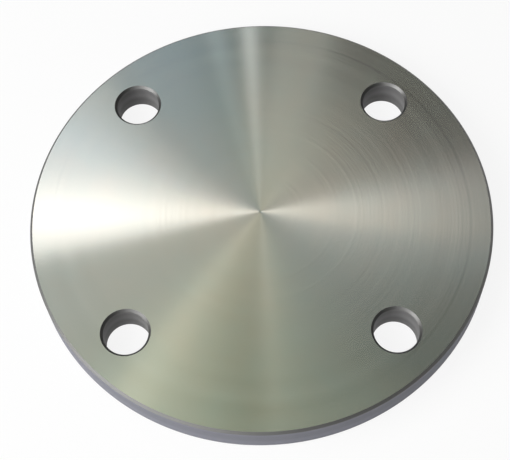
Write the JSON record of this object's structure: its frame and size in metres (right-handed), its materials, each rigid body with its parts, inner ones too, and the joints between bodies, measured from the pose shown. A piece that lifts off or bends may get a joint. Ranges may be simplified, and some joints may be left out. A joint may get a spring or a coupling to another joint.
{
  "type": "blind flange",
  "caption": "Flat-faced blind flange: a solid turned steel disc with plain bolt holes round its edge, bolted on to close the end of a pipe.",
  "frame": {"origin": "centre of the back face, on the disc's axis, at the surface that the flange lies on", "axes": "+Z along the disc's axis, out of the turned face; the bolt holes straddle X and Y, at 45 degrees to both"},
  "size_m": [0.19, 0.19, 0.014],
  "materials": {
    "steel": "bright turned steel, faced in fine concentric rings, with a satin edge and drilled holes"
  },
  "bodies": {
    "root": {"flange": "steel"}
  },
  "joints": []
}
